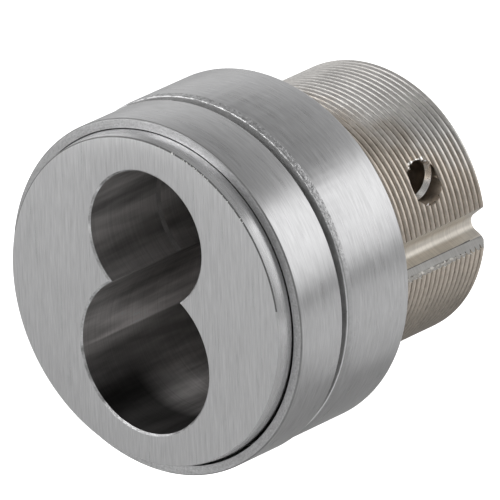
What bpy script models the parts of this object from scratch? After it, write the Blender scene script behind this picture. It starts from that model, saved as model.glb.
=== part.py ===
"""Mortise cylinder housing for an interchangeable core, with its two rings and its cam.

Metres, +Z up. The thread runs along Y and the face looks along -Y. The origin is on the
thread's axis, at the shoulder behind the head. Angles round the thread start at +X.
"""
import math

import bmesh
import bpy
from mathutils import Matrix

# Clearances
SEAT_GAP = 0.0003
RUNNING_GAP = 0.0003
RING_BORE_GAP = 0.00035
HEAD_GAP = 0.00022

# Housing, one turned and milled piece
THREAD_R = 0.014605
BODY_LENGTH = 0.03175
BODY_END_CHAMFER = 0.0004
HEAD_LENGTH = 0.00538
HEAD_SHOULDER = 0.002895
HEAD_TAPER = 0.0001
HEAD_EDGE = 0.00012

# Figure-eight bore for the core: two round lobes that cross
UPPER_LOBE_R = 0.00705
LOWER_LOBE_R = 0.00813
UPPER_WALL = 0.0009
LOWER_WALL = 0.00051
LOBE_CHAMFER = 0.00015
LEDGE_DEPTH = 0.0105
LEDGE_IN = 0.00028
LEDGE_RAMP = 0.0004
REAR_WALL = 0.0039

# Grooves for the lock's clamping screw
GROOVE_DEPTH = 0.0022
GROOVE_FLOOR_R = 0.001
GROOVE_RISE = 0.00045
GROOVE_UPPER_SLOPE = math.radians(42)
GROOVE_LOWER_SLOPE = math.radians(25)
GROOVE_RAMP_DEPTH = 0.00083
GROOVE_RAMP_SLOPE = math.radians(56)

# Stepped hole drilled in along X, placed from the body's rear end and the upper lobe's axis
SIDE_HOLE_FROM_END = 0.00793
SIDE_HOLE_RISE = 0.0005
SIDE_HOLE_R = 0.0022
SIDE_HOLE_DEPTH = 0.0029
SIDE_HOLE_CONE = 0.00075
SIDE_HOLE_PILOT_R = 0.00202

# Compression ring and the wave spring inside it
FACE_PROUD = 0.00181
RING_LIP = 0.00108
RING_WEB = 0.00088
RING_EDGE = 0.0002
RING_DROP = 0.0001
SPRING_HEIGHT = 0.00152
SPRING_THICKNESS = 0.0004
SPRING_WAVES = 4

# Blocking ring, loose on the thread a little behind the other ring
RINGS_APART = 0.00082
BLOCKING_LENGTH = 0.00977
BLOCKING_TAPER = 0.0001
BLOCKING_TAPER_LENGTH = 0.0008
BLOCKING_EDGE = 0.0003
BLOCKING_LIFT = 0.00012

# Throw member and its two pins
THROW_FLANGE_R = 0.0067
THROW_FLANGE = 0.0016
THROW_HUB_R = 0.0049
THROW_EDGE = 0.0002
THROW_PIN_R = 0.001
THROW_PIN_OFFSET = 0.0026
THROW_PIN_REACH = 0.0075
THROW_PIN_SEAT = 0.0022
THROW_PIN_GAP = 0.00012

# Cam and its screws
CAM_THICKNESS = 0.0024
CAM_DISC_R = 0.0086
CAM_REACH = 0.02
CAM_TONGUE_HALF = 0.0042
CAM_FILLET_R = 0.003
CAM_TIP_R = 0.0026
CAM_EDGE = 0.00025
SCREW_OFFSET = 0.0031
SCREW_SHANK_R = 0.0009
SCREW_HEAD_R = 0.0018
SCREW_HEAD = 0.0011
SCREW_SEAT = 0.0018
SCREW_SLOT = 0.0005
SCREW_SLOT_DEPTH = 0.0005
SCREW_GAP = 0.00015

# Faces round one turn
ROUND_STEPS = 96
LOBE_STEPS = 50
SMALL_STEPS = 32
ARC_STEPS = 10
PAST = 0.002
SHARP_ANGLE = math.radians(32)

# Places that follow from the sizes
FACE_Y = -HEAD_LENGTH
HEAD_BACK_R = THREAD_R + HEAD_SHOULDER
HEAD_FACE_R = HEAD_BACK_R - HEAD_TAPER
UPPER_LOBE_Z = THREAD_R - UPPER_WALL - UPPER_LOBE_R
LOWER_LOBE_Z = LOWER_WALL + LOWER_LOBE_R - THREAD_R
BORE_END_Y = BODY_LENGTH - REAR_WALL
SIDE_HOLE_Y = BODY_LENGTH - SIDE_HOLE_FROM_END
SIDE_HOLE_Z = UPPER_LOBE_Z + SIDE_HOLE_RISE
THROW_STEP_Y = BORE_END_Y + THROW_FLANGE + SEAT_GAP
RING_FRONT_Y = FACE_Y + FACE_PROUD
WEB_FRONT_Y = SPRING_HEIGHT + 2 * SEAT_GAP
RING_REAR_Y = WEB_FRONT_Y + RING_WEB
RING_OPENING_R = HEAD_BACK_R + HEAD_GAP
RING_R = RING_OPENING_R + RING_LIP
RING_BORE_R = THREAD_R + RING_BORE_GAP
BLOCKING_FRONT_Y = RING_REAR_Y + RINGS_APART
CAM_FRONT_Y = BODY_LENGTH + SEAT_GAP
CAM_BACK_Y = CAM_FRONT_Y + CAM_THICKNESS


def clear_scene():
    for old in list(bpy.data.objects):
        bpy.data.objects.remove(old, do_unlink=True)


def metal(name, colour, roughness):
    material = bpy.data.materials.new(name)
    material.use_nodes = True
    shader = material.node_tree.nodes["Principled BSDF"]
    shader.inputs["Base Color"].default_value = (*colour, 1.0)
    shader.inputs["Roughness"].default_value = roughness
    shader.inputs["Metallic"].default_value = 1.0
    return material


def add_object(name, bm, material=None, parent=None, location=(0, 0, 0)):
    """Turns a bmesh into a named object with outward faces and smooth round sides."""
    bmesh.ops.recalc_face_normals(bm, faces=bm.faces)
    mesh = bpy.data.meshes.new(name)
    bm.to_mesh(mesh)
    bm.free()
    mesh.shade_smooth()
    mesh.set_sharp_from_angle(angle=SHARP_ANGLE)
    obj = bpy.data.objects.new(name, mesh)
    bpy.context.collection.objects.link(obj)
    obj.location = location
    obj.parent = parent
    if material:
        mesh.materials.append(material)
    return obj


def turned(profile, steps, closed):
    """Spins a profile of (y, radius) points round Y; an open one starts and ends on the axis."""
    bm = bmesh.new()
    points = [bm.verts.new((radius, y, 0)) for y, radius in profile]
    edges = [bm.edges.new(pair) for pair in zip(points, points[1:])]
    if closed:
        edges.append(bm.edges.new((points[-1], points[0])))
    bmesh.ops.spin(
        bm, geom=points + edges, cent=(0, 0, 0), axis=(0, 1, 0),
        angle=math.tau, steps=steps, use_merge=True,
    )
    bmesh.ops.remove_doubles(bm, verts=bm.verts, dist=1e-7)
    return bm


def lofted(sections):
    """Joins outlines of equal length, each a list of (x, y, z) points, and caps both ends."""
    bm = bmesh.new()
    loops = [[bm.verts.new(point) for point in section] for section in sections]
    for near, far in zip(loops, loops[1:]):
        for i, corner in enumerate(near):
            j = (i + 1) % len(near)
            bm.faces.new((corner, near[j], far[j], far[i]))
    bm.faces.new(loops[0])
    bm.faces.new(loops[-1])
    return bm


def arc(centre, radius, start, end, steps):
    """Points (x, z) along an arc, both ends included."""
    return [
        (
            centre[0] + radius * math.cos(start + (end - start) * i / steps),
            centre[1] + radius * math.sin(start + (end - start) * i / steps),
        )
        for i in range(steps + 1)
    ]


def cut(target, cutter):
    """Takes the cutter's shape out of the target and leaves the cutter as a hidden guide."""
    cutter.hide_render = True
    cutter.display_type = "WIRE"
    boolean = target.modifiers.new(cutter.name, "BOOLEAN")
    boolean.operation = "DIFFERENCE"
    boolean.object = cutter


def apply_cuts():
    """Makes every cut final, removes the cutters and marks the new edges sharp."""
    depsgraph = bpy.context.evaluated_depsgraph_get()
    shaped = [obj for obj in bpy.data.objects if obj.type == "MESH" and obj.modifiers]
    results = [bpy.data.meshes.new_from_object(obj.evaluated_get(depsgraph)) for obj in shaped]
    for obj, mesh in zip(shaped, results):
        cutters = [step.object for step in obj.modifiers if step.type == "BOOLEAN"]
        obj.modifiers.clear()
        obj.data = mesh
        mesh.name = obj.name
        mesh.set_sharp_from_angle(angle=SHARP_ANGLE)
        for cutter in cutters:
            bpy.data.objects.remove(cutter, do_unlink=True)


def lobe_cutter(name, radius, inner, centre_z):
    """One round lobe of the core's bore: a broken edge at the face, then its inner profile."""
    mouth = radius + LOBE_CHAMFER
    profile = [
        (FACE_Y - PAST, 0),
        (FACE_Y - PAST, mouth + PAST),
        (FACE_Y, mouth),
        (FACE_Y + LOBE_CHAMFER, radius),
    ]
    bm = turned(profile + inner + [(BORE_END_Y, 0)], LOBE_STEPS, closed=False)
    return add_object(name, bm, location=(0, 0, centre_z))


def upper_lobe_cutter():
    """The smaller lobe, with a ledge part way down."""
    ledge_y = FACE_Y + LEDGE_DEPTH
    narrow_r = UPPER_LOBE_R - LEDGE_IN
    inner = [(ledge_y, UPPER_LOBE_R), (ledge_y + LEDGE_RAMP, narrow_r), (BORE_END_Y, narrow_r)]
    return lobe_cutter("upper_lobe_cutter", UPPER_LOBE_R, inner, UPPER_LOBE_Z)


def lower_lobe_cutter():
    return lobe_cutter("lower_lobe_cutter", LOWER_LOBE_R, [(BORE_END_Y, LOWER_LOBE_R)], LOWER_LOBE_Z)


def throw_hole_cutter():
    """The stepped hole through the rear wall, on the lower lobe's axis."""
    profile = [
        (BORE_END_Y - PAST, 0),
        (BORE_END_Y - PAST, THROW_FLANGE_R + RUNNING_GAP),
        (THROW_STEP_Y, THROW_FLANGE_R + RUNNING_GAP),
        (THROW_STEP_Y, THROW_HUB_R + RUNNING_GAP),
        (BODY_LENGTH + PAST, THROW_HUB_R + RUNNING_GAP),
        (BODY_LENGTH + PAST, 0),
    ]
    bm = turned(profile, 2 * SMALL_STEPS, closed=False)
    return add_object("throw_hole_cutter", bm, location=(0, 0, LOWER_LOBE_Z))


def groove_outline():
    """A round-floored groove on the +X side: a sloping upper wall, and below it a short wall
    that breaks into a flat ramp."""
    floor_x = THREAD_R - GROOVE_DEPTH
    centre = (floor_x + GROOVE_FLOOR_R, GROOVE_RISE)
    upper_start = math.pi / 2 + GROOVE_UPPER_SLOPE
    lower_end = 3 * math.pi / 2 - GROOVE_LOWER_SLOPE
    floor = arc(centre, GROOVE_FLOOR_R, upper_start, lower_end, ARC_STEPS)
    reach = 2 * GROOVE_DEPTH
    top_x = THREAD_R + reach
    top_z = floor[0][1] + (top_x - floor[0][0]) * math.tan(GROOVE_UPPER_SLOPE)
    break_x = THREAD_R - GROOVE_RAMP_DEPTH
    break_z = floor[-1][1] - (break_x - floor[-1][0]) * math.tan(GROOVE_LOWER_SLOPE)
    end_z = break_z - (top_x - break_x) * math.tan(GROOVE_RAMP_SLOPE)
    return [(top_x, top_z)] + floor + [(break_x, break_z), (top_x, end_z)]


def groove_cutter(name, turn):
    outline = groove_outline()
    ends = (-PAST, BODY_LENGTH + PAST)
    bm = lofted([[(x, y, z) for x, z in outline] for y in ends])
    bmesh.ops.rotate(bm, verts=bm.verts, matrix=Matrix.Rotation(turn, 3, "Y"))
    return add_object(name, bm)


def side_hole_cutter():
    """A counterbore, the cone at its bottom and a pilot that opens into the upper lobe."""
    cone_start = THREAD_R - SIDE_HOLE_DEPTH
    profile = [
        (0, 0),
        (0, SIDE_HOLE_PILOT_R),
        (cone_start - SIDE_HOLE_CONE, SIDE_HOLE_PILOT_R),
        (cone_start, SIDE_HOLE_R),
        (THREAD_R + PAST, SIDE_HOLE_R),
        (THREAD_R + PAST, 0),
    ]
    bm = turned(profile, SMALL_STEPS, closed=False)
    bmesh.ops.rotate(bm, verts=bm.verts, matrix=Matrix.Rotation(-math.pi / 2, 3, "Z"))
    return add_object("side_hole_cutter", bm, location=(0, SIDE_HOLE_Y, SIDE_HOLE_Z))


def make_housing(material):
    profile = [
        (FACE_Y, 0),
        (FACE_Y, HEAD_FACE_R - HEAD_EDGE),
        (FACE_Y + HEAD_EDGE, HEAD_FACE_R),
        (-HEAD_EDGE, HEAD_BACK_R),
        (0, HEAD_BACK_R - HEAD_EDGE),
        (0, THREAD_R),
        (BODY_LENGTH - BODY_END_CHAMFER, THREAD_R),
        (BODY_LENGTH, THREAD_R - BODY_END_CHAMFER),
        (BODY_LENGTH, 0),
    ]
    housing = add_object("housing", turned(profile, ROUND_STEPS, closed=False), material)
    cut(housing, upper_lobe_cutter())
    cut(housing, lower_lobe_cutter())
    cut(housing, throw_hole_cutter())
    cut(housing, groove_cutter("groove_cutter_right", 0))
    cut(housing, groove_cutter("groove_cutter_left", math.pi))
    cut(housing, side_hole_cutter())
    return housing


def make_compression_ring(material):
    """A shallow cup: it hides the head's side, and its web bears on the wave spring."""
    length = RING_REAR_Y - RING_FRONT_Y
    profile = [
        (0, RING_OPENING_R),
        (0, RING_R - RING_EDGE),
        (RING_EDGE, RING_R),
        (length - RING_EDGE, RING_R),
        (length, RING_R - RING_EDGE),
        (length, RING_BORE_R),
        (length - RING_WEB, RING_BORE_R),
        (length - RING_WEB, RING_OPENING_R),
    ]
    bm = turned(profile, ROUND_STEPS, closed=True)
    return add_object("compression_ring", bm, material, location=(0, RING_FRONT_Y, -RING_DROP))


def make_wave_spring(material):
    """A flat ring bent into waves, between the head's shoulder and the ring's web."""
    inner = RING_BORE_R
    outer = RING_OPENING_R - RING_BORE_GAP
    swing = (SPRING_HEIGHT - SPRING_THICKNESS) / 2
    middle = SEAT_GAP + SPRING_HEIGHT / 2
    bm = bmesh.new()
    loops = []
    for i in range(ROUND_STEPS):
        angle = math.tau * i / ROUND_STEPS
        y = middle + swing * math.cos(SPRING_WAVES * angle)
        corners = [
            (radius, y + side * SPRING_THICKNESS / 2)
            for radius, side in ((inner, -1), (outer, -1), (outer, 1), (inner, 1))
        ]
        loops.append([bm.verts.new((r * math.cos(angle), h, r * math.sin(angle))) for r, h in corners])
    for near, far in zip(loops, loops[1:] + loops[:1]):
        for i in range(4):
            j = (i + 1) % 4
            bm.faces.new((near[i], near[j], far[j], far[i]))
    return add_object("wave_spring", bm, material)


def make_blocking_ring(material, carrier):
    """The plain spacer behind the compression ring, which it slides with."""
    profile = [
        (0, RING_BORE_R),
        (0, RING_R - BLOCKING_TAPER),
        (BLOCKING_TAPER_LENGTH, RING_R),
        (BLOCKING_LENGTH - BLOCKING_EDGE, RING_R),
        (BLOCKING_LENGTH, RING_R - BLOCKING_EDGE),
        (BLOCKING_LENGTH, RING_BORE_R),
    ]
    place = (0, BLOCKING_FRONT_Y - RING_FRONT_Y, BLOCKING_LIFT + RING_DROP)
    bm = turned(profile, ROUND_STEPS, closed=True)
    return add_object("blocking_ring", bm, material, carrier, place)


def round_hole(radius, start, end):
    """The profile of a plain hole's cutter, from start to end along Y."""
    return [(start, 0), (start, radius), (end, radius), (end, 0)]


def cut_round(target, name, profile, pivot, place):
    """Cuts a turned shape out of a piece of the cam's assembly, at a place under its pivot."""
    bm = turned(profile, SMALL_STEPS, closed=False)
    cut(target, add_object(name, bm, None, pivot, place))


def make_throw_member(material, pivot):
    """A flanged hub that turns in the rear wall; the flange keeps it from leaving at the back."""
    profile = [
        (BORE_END_Y, 0),
        (BORE_END_Y, THROW_FLANGE_R - THROW_EDGE),
        (BORE_END_Y + THROW_EDGE, THROW_FLANGE_R),
        (BORE_END_Y + THROW_FLANGE, THROW_FLANGE_R),
        (BORE_END_Y + THROW_FLANGE, THROW_HUB_R),
        (BODY_LENGTH, THROW_HUB_R),
        (BODY_LENGTH, 0),
    ]
    hub = add_object("throw_member", turned(profile, 2 * SMALL_STEPS, closed=False), material, pivot)
    pin_bottom = BORE_END_Y + THROW_PIN_SEAT + SEAT_GAP
    pin_hole = round_hole(THROW_PIN_R + THROW_PIN_GAP, BORE_END_Y - PAST, pin_bottom)
    for number, x in enumerate((-THROW_PIN_OFFSET, THROW_PIN_OFFSET), start=1):
        cut_round(hub, f"pin_hole_cutter_{number}", pin_hole, pivot, (x, 0, 0))
    screw_bottom = BODY_LENGTH - SCREW_SEAT - SEAT_GAP
    screw_hole = round_hole(SCREW_SHANK_R + SCREW_GAP, screw_bottom, BODY_LENGTH + PAST)
    for number, z in enumerate((-SCREW_OFFSET, SCREW_OFFSET), start=1):
        cut_round(hub, f"screw_hole_cutter_{number}", screw_hole, pivot, (0, 0, z))
    return hub


def make_throw_pins(material, pivot):
    """Two pins pressed into the hub, which reach forward for the holes in the core's plug."""
    front = BORE_END_Y - THROW_PIN_REACH
    nose = THROW_PIN_R / 3
    profile = [
        (front, 0),
        (front, THROW_PIN_R - nose),
        (front + nose, THROW_PIN_R),
        (BORE_END_Y + THROW_PIN_SEAT, THROW_PIN_R),
        (BORE_END_Y + THROW_PIN_SEAT, 0),
    ]
    for number, x in enumerate((-THROW_PIN_OFFSET, THROW_PIN_OFFSET), start=1):
        bm = turned(profile, SMALL_STEPS, closed=False)
        add_object(f"throw_pin_{number}", bm, material, pivot, (x, 0, 0))


def screw_profile(clearance):
    """A countersunk screw, flush with the cam's back; a clearance widens it into its hole."""
    return [
        (BODY_LENGTH - SCREW_SEAT - clearance, 0),
        (BODY_LENGTH - SCREW_SEAT - clearance, SCREW_SHANK_R + clearance),
        (CAM_BACK_Y - SCREW_HEAD, SCREW_SHANK_R + clearance),
        (CAM_BACK_Y, SCREW_HEAD_R + clearance),
    ]


def cam_outline():
    """A disc with a tongue towards -X, filleted where they join and rounded at the tip."""
    fillet_x = math.sqrt((CAM_DISC_R + CAM_FILLET_R) ** 2 - (CAM_TONGUE_HALF + CAM_FILLET_R) ** 2)
    lean = math.atan2(CAM_TONGUE_HALF + CAM_FILLET_R, fillet_x)
    tip_x = CAM_REACH - CAM_TIP_R
    tip_z = CAM_TONGUE_HALF - CAM_TIP_R
    root_z = CAM_TONGUE_HALF + CAM_FILLET_R
    quarter = math.pi / 2
    disc = arc((0, 0), CAM_DISC_R, lean - math.pi, math.pi - lean, 4 * ARC_STEPS)
    upper_root = arc((-fillet_x, root_z), CAM_FILLET_R, -lean, -quarter, ARC_STEPS)
    upper_tip = arc((-tip_x, tip_z), CAM_TIP_R, quarter, math.pi, ARC_STEPS)
    lower_tip = arc((-tip_x, -tip_z), CAM_TIP_R, math.pi, 3 * quarter, ARC_STEPS)
    lower_root = arc((-fillet_x, -root_z), CAM_FILLET_R, quarter, lean, ARC_STEPS)
    return disc + upper_root[1:] + upper_tip + lower_tip + lower_root[:-1]


def make_cam(material, pivot):
    """The plate that works the lock, screwed to the back of the throw member."""
    outline = cam_outline()
    plate = lofted([[(x, y, z) for x, z in outline] for y in (CAM_FRONT_Y, CAM_BACK_Y)])
    cam = add_object("cam", plate, material, pivot)
    bevel = cam.modifiers.new("broken_edges", "BEVEL")
    bevel.width = CAM_EDGE
    bevel.segments = 2
    bevel.limit_method = "ANGLE"
    bevel.angle_limit = math.radians(60)
    mouth = [(CAM_BACK_Y + PAST, SCREW_HEAD_R + SCREW_GAP), (CAM_BACK_Y + PAST, 0)]
    for number, z in enumerate((-SCREW_OFFSET, SCREW_OFFSET), start=1):
        hole = screw_profile(SCREW_GAP) + mouth
        cut_round(cam, f"countersink_cutter_{number}", hole, pivot, (0, 0, z))
    return cam


def make_cam_screws(material, pivot):
    """Two slotted screws that hold the cam on the hub, and the hub in the rear wall."""
    slot_size = Matrix.Diagonal((4 * SCREW_HEAD_R, 2 * SCREW_SLOT_DEPTH, SCREW_SLOT, 1))
    slot_place = Matrix.Translation((0, CAM_BACK_Y, 0)) @ slot_size
    for number, z in enumerate((-SCREW_OFFSET, SCREW_OFFSET), start=1):
        bm = turned(screw_profile(0) + [(CAM_BACK_Y, 0)], SMALL_STEPS, closed=False)
        screw = add_object(f"cam_screw_{number}", bm, material, pivot, (0, 0, z))
        slot = bmesh.new()
        bmesh.ops.create_cube(slot, size=1, matrix=slot_place)
        cut(screw, add_object(f"slot_cutter_{number}", slot, None, pivot, (0, 0, z)))


def main():
    clear_scene()
    satin_chrome = metal("satin_chrome", (0.47, 0.47, 0.48), 0.32)
    ring_chrome = metal("ring_chrome", (0.48, 0.48, 0.49), 0.3)
    spring_steel = metal("spring_steel", (0.42, 0.42, 0.43), 0.35)
    nickel = metal("nickel", (0.5, 0.47, 0.43), 0.35)
    screw_steel = metal("screw_steel", (0.4, 0.4, 0.41), 0.3)

    make_housing(satin_chrome)
    make_wave_spring(spring_steel)
    compression_ring = make_compression_ring(ring_chrome)
    make_blocking_ring(ring_chrome, compression_ring)

    pivot = bpy.data.objects.new("cam_pivot", None)
    bpy.context.collection.objects.link(pivot)
    pivot.location = (0, 0, LOWER_LOBE_Z)
    make_throw_member(nickel, pivot)
    make_throw_pins(screw_steel, pivot)
    make_cam(nickel, pivot)
    make_cam_screws(screw_steel, pivot)
    apply_cuts()


main()
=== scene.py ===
import math
import random

import bmesh
import bpy
from mathutils import Matrix, Vector, noise


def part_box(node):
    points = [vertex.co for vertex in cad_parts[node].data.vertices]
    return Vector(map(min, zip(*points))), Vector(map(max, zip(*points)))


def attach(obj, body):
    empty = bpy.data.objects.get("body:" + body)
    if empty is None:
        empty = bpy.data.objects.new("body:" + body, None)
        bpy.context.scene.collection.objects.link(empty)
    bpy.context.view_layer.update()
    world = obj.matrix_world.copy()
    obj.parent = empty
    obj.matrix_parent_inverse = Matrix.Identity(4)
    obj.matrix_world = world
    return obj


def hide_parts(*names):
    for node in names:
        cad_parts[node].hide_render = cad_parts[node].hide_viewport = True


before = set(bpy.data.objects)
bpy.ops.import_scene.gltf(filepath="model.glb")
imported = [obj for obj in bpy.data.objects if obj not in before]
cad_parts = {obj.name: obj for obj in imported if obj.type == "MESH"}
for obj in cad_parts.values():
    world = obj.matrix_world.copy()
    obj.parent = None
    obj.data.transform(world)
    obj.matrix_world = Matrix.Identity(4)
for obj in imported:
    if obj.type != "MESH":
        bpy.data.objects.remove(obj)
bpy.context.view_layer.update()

TAU = math.tau
QUARTER = math.pi / 2

# Sizes read from the frame, in metres: the thread runs along Y, the face looks along -Y
housing_low, housing_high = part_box("housing")
ring_low, ring_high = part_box("compression_ring")
block_low, block_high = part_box("blocking_ring")
throw_low, throw_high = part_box("throw_member")

FACE_Y = housing_low.y
BODY_END_Y = housing_high.y
HEAD_BACK_R = housing_high.x
HEAD_FACE_R = HEAD_BACK_R - 0.0001
RING_R = ring_high.x
RING_Z = (ring_low.z + ring_high.z) / 2
BLOCK_Z = (block_low.z + block_high.z) / 2
THROW_Z = (throw_low.z + throw_high.z) / 2
THROW_FLANGE_R = throw_high.x

# How far a cutting shape stands past what it cuts, and how near two places count as the same
PAST = 0.002
NEAR = 1e-5

# Thread and body; the crest's width is a share of the pitch, its crown a share of the depth
THREAD_R = 0.014605
THREAD_PITCH = 0.0254 / 32
THREAD_DEPTH = 0.00034
THREAD_CREST = 0.69
THREAD_CROWN = 0.31
THREAD_STEPS = 192
THREAD_BEFORE = 2
CREST_STEPS = 7
END_CHAMFER = 0.0005
ENVELOPE_MARGIN = 0.001

# Head; its side flares to a lip just in front of the compression ring
HEAD_EDGE = 0.00012
HEAD_LIP_R = 0.0176
HEAD_LIP_STEP = 0.0004
HEAD_STEPS = 256

# Figure-eight bore and the rear wall
UPPER_LOBE_R = 0.00719
LOWER_LOBE_R = 0.00824
UPPER_LOBE_Z = 0.0067
LOWER_LOBE_Z = -0.005965
UPPER_LOBE_STEPS = 120
LOWER_LOBE_STEPS = 132
LOBE_CHAMFER = 0.00019
LEDGE_DEPTH = 0.0105
LEDGE_IN = 0.00028
LEDGE_RAMP = 0.0004
REAR_WALL = 0.0039
THROW_FLANGE = 0.0016
THROW_HUB_R = 0.0049
THROW_HOLE_CHAMFER = 0.0002
RUNNING_GAP = 0.0003

# Stepped side hole along X
SIDE_HOLE_Y = 0.02382
SIDE_HOLE_Z = 0.007155
SIDE_HOLE_R = 0.0022
SIDE_HOLE_SEAT_X = THREAD_R - 0.0029
SIDE_HOLE_CONE = 0.0006
SIDE_HOLE_PILOT_R = 0.0019
HOLE_STEPS = 96

# Side groove; at the rear end its lower edge is worn to a larger radius
GROOVE_DEPTH = 0.0022
GROOVE_FLOOR_R = 0.001
GROOVE_FLOOR_STEPS = 24
GROOVE_RISE = 0.00045
GROOVE_UPPER_SLOPE = math.radians(42)
GROOVE_LOWER_SLOPE = math.radians(25)
GROOVE_RAMP_DEPTH = 0.00083
GROOVE_RAMP_SLOPE = math.radians(56)
GROOVE_BREAK_R = 0.00016
GROOVE_BREAK_STEPS = 6
GROOVE_WORN_R = 0.0018
GROOVE_WORN_LENGTH = 0.0038
GROOVE_WORN_SECTIONS = 8
GROOVE_START_Y = -PAST / 4

# Rings; RING_FIT is the gap between the head's lip and the compression ring's opening
RING_FIT = 0.00016
RING_WEB = 0.00088
RING_EDGE = 0.00018
RING_CORNER = 0.0003
RING_BORE_R = 0.014955
RING_STEPS = 320
REAR_FILLET = 0.0002
BORE_FILLET = 0.0001
FILLET_STEPS = 5

# The blocking ring's torn front edge; the rows say how far behind it and above the lip they are
LEAD_IN = 0.00012
LEAD_LENGTH = 0.0008
LEAD_STEPS = 4
LIP_STEP = 0.00005
TORN_ROWS = ((0.00003, 0.00002), (0.00009, 0.00005), (0.00017, 0.00001))
TORN_FROM_Z = 0.004
TORN_RISE = 0.006
TORN_CALM = 0.25
TORN_ALONG = 0.00007
TORN_OUT = 0.00004

# The rolls of metal pushed over the grooves' lower edges
ROLL_ANGLE = math.radians(-6.8)
ROLL_R = THREAD_R - 0.0002
ROLL_START_Y = 0.0002
ROLL_END_Y = BODY_END_Y - 0.0022
ROLL_WIDE = 0.00025
ROLL_THICK = 0.00011
ROLL_SIDES = 10
ROLL_ROWS = 300
ROLL_FADE_ROWS = 40

# Places of the larger burrs: degrees round an edge, metres along the groove, turns round the hole
FACE_BURRS = (78.2, 71.6, 66.1, 62.7)
RING_BURRS = (110.8, 99.4, 91.9, 85.9, 81.1, 33.3, 21.8)
GROOVE_BURRS = (
    0.01933, 0.02028, 0.02081, 0.02169, 0.02252, 0.02423, 0.02483, 0.02546, 0.02795, 0.02907,
    0.0307,
)
GROOVE_TOP_BURRS = (0.01942, 0.0236, 0.0271)
HOLE_BURRS = (60, 38, -8, -28, -45, -62, -85, -110)
GROOVE_LOWER_EDGE = -7.3
GROOVE_UPPER_EDGE = 10.5
SMALL_GROOVE_BURRS = 44

# Camera, at the photograph's angle
CAMERA_AZIMUTH = math.radians(39.09)
CAMERA_ELEVATION = math.radians(22.28)
CAMERA_ROLL = math.radians(0.22)
CAMERA_DISTANCE = 1.5
CAMERA_LENS = 1072.1
AIM = Vector((0.00385, 0.00662, 0.00285))

# Studio: how bright each part of the surroundings is
FLOOR_Z = -0.031
WALL_LEVEL = 0.85
CEILING_LEVEL = 0.38
TOP_LEVEL = 0.5
CAMERA_SIDE_LEVEL = 0.28
SOFTBOX_LEVEL = 1.7
SOFTBOX_SLANT = 0.35
FILL_LEVEL = 2.1

# Finishes
NOISE_LOW, NOISE_HIGH = 0.3, 0.7
GREY = (0.5, 0.5, 0.505)
NICKEL = (0.6, 0.583, 0.562)
# Painted shade: the thread's duller, warmer tint near the blocking ring and low down
SHADE_TINT = (0.56, 0.5, 0.435)
# Painted highlight: where the bright streak on the bore's left wall begins, and how far up it
# fades
STREAK_FROM_Z = -0.00724
STREAK_FADE_Z = 0.0012


def make_camera():
    back = Vector((
        math.sin(CAMERA_AZIMUTH) * math.cos(CAMERA_ELEVATION),
        -math.cos(CAMERA_AZIMUTH) * math.cos(CAMERA_ELEVATION),
        math.sin(CAMERA_ELEVATION),
    ))
    right = Vector((0, 0, 1)).cross(back).normalized()
    up = back.cross(right)
    rolled_right = math.cos(CAMERA_ROLL) * right + math.sin(CAMERA_ROLL) * up
    rolled_up = math.cos(CAMERA_ROLL) * up - math.sin(CAMERA_ROLL) * right
    turn = Matrix((rolled_right, rolled_up, back)).transposed().to_4x4()
    data = bpy.data.cameras.new("camera")
    data.lens = CAMERA_LENS
    data.sensor_width = 36
    data.clip_start = 0.05
    data.clip_end = 20
    camera = bpy.data.objects.new("camera", data)
    bpy.context.scene.collection.objects.link(camera)
    camera.matrix_world = Matrix.Translation(AIM + CAMERA_DISTANCE * back) @ turn
    bpy.context.scene.camera = camera


# Mesh helpers

def add_piece(name, bm, materials, smooth_angle=40):
    """Turns a bmesh into an object with outward faces; creases above the angle stay sharp."""
    bmesh.ops.recalc_face_normals(bm, faces=bm.faces)
    mesh = bpy.data.meshes.new(name)
    bm.to_mesh(mesh)
    bm.free()
    for material in materials:
        mesh.materials.append(material)
    mesh.shade_smooth()
    mesh.set_sharp_from_angle(angle=math.radians(smooth_angle))
    obj = bpy.data.objects.new(name, mesh)
    bpy.context.scene.collection.objects.link(obj)
    return obj


def rounded(corners):
    """A closed profile from (y, r, fillet) corners: each corner becomes an arc of that radius."""
    points = []
    count = len(corners)
    for i, (y, r, fillet) in enumerate(corners):
        here = Vector((y, r))
        if fillet <= 0:
            points.append((y, r))
            continue
        before = (Vector(corners[i - 1][:2]) - here).normalized()
        after = (Vector(corners[(i + 1) % count][:2]) - here).normalized()
        half = before.angle(after) / 2
        start = here + before * (fillet / math.tan(half))
        centre = here + (before + after).normalized() * (fillet / math.sin(half))
        arm = start - centre
        sweep = math.pi - 2 * half
        side = 1 if before.x * after.y - before.y * after.x < 0 else -1
        for k in range(FILLET_STEPS + 1):
            a = side * sweep * k / FILLET_STEPS
            points.append((
                centre.x + arm.x * math.cos(a) - arm.y * math.sin(a),
                centre.y + arm.x * math.sin(a) + arm.y * math.cos(a),
            ))
    return points


def revolved(profile, steps, closed=True, centre=(0, 0)):
    """Spins (y, r) points round a line along Y through centre = (x, z)."""
    bm = bmesh.new()
    rings = []
    for y, r in profile:
        if r < 1e-7:
            rings.append([bm.verts.new((centre[0], y, centre[1]))])
            continue
        turns = [TAU * k / steps for k in range(steps)]
        rings.append([
            bm.verts.new((centre[0] + r * math.cos(a), y, centre[1] + r * math.sin(a)))
            for a in turns
        ])
    pairs = list(zip(rings, rings[1:]))
    if closed:
        pairs.append((rings[-1], rings[0]))
    for near, far in pairs:
        for k in range(steps):
            corners = [
                near[k % len(near)], near[(k + 1) % len(near)],
                far[(k + 1) % len(far)], far[k % len(far)],
            ]
            unique = [c for i, c in enumerate(corners) if c not in corners[:i]]
            if len(unique) > 2:
                bm.faces.new(unique)
    return bm


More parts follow.
